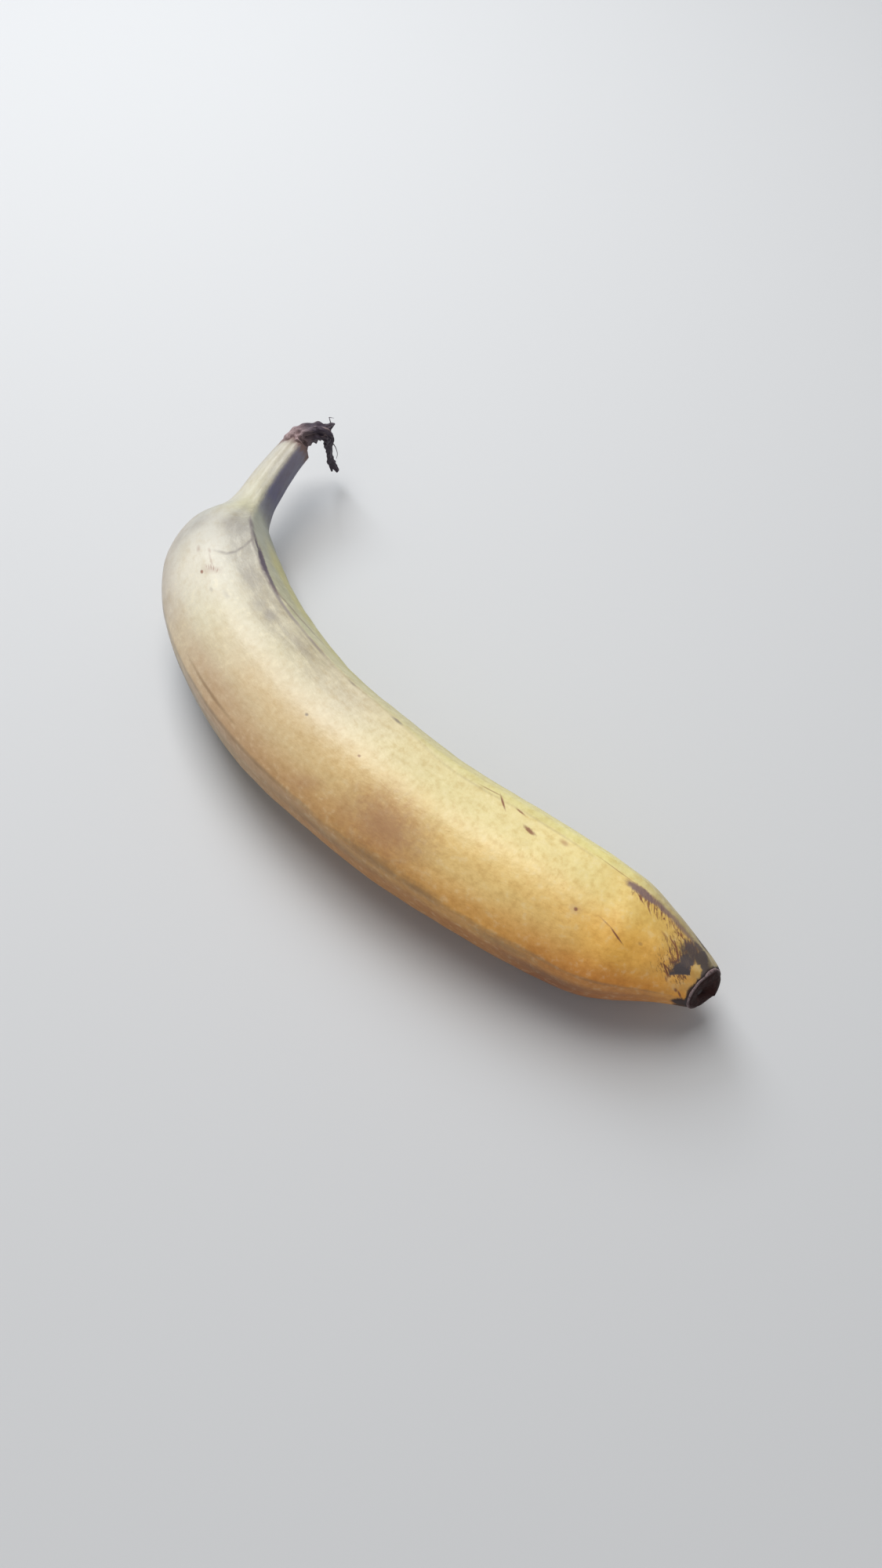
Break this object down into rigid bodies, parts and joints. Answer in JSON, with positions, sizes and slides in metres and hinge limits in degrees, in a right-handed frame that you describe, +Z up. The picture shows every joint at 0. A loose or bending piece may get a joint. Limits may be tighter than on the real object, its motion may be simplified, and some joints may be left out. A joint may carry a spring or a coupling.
{
  "type": "banana",
  "caption": "Whole ripe banana lying on its side, with a thin curved stem, a torn strip of crown peel at its tip and a small dry button at the blossom end.",
  "frame": {"origin": "on the table under the middle of the fruit's outline box", "axes": "+Z up from the table the fruit lies on, +X along the fruit from the stem shoulder to the blossom end, +Y to the inside of the bend"},
  "size_m": [0.2076, 0.0794, 0.036],
  "materials": {
    "peel": "satin banana skin, cream at the shoulder to amber at the blossom end, with grey-brown ridges and a dark dry stem tear"
  },
  "bodies": {
    "root": {"banana": "peel"}
  },
  "joints": []
}
